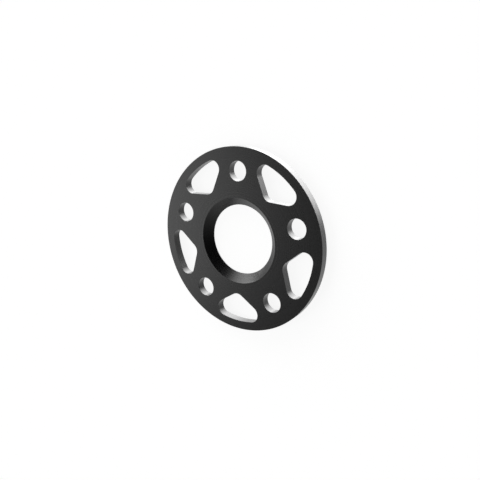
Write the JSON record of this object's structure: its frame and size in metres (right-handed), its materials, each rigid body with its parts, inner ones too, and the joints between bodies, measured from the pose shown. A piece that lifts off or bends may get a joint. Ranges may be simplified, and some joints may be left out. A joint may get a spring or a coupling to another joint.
{
  "type": "wheel spacer",
  "caption": "Flat round wheel spacer in black anodised aluminium, with a bevelled hub bore, a circle of plain bolt holes and rounded lightening windows between them.",
  "frame": {"origin": "centre of the bore at the plain back face, which the disc lies on", "axes": "+Z along the bore axis, out of the bevelled face; +Y through the centre of one bolt hole"},
  "size_m": [0.15, 0.15, 0.007],
  "materials": {
    "black_anodised": "black anodised, satin"
  },
  "bodies": {
    "root": {"spacer_disc": "black_anodised"}
  },
  "joints": []
}
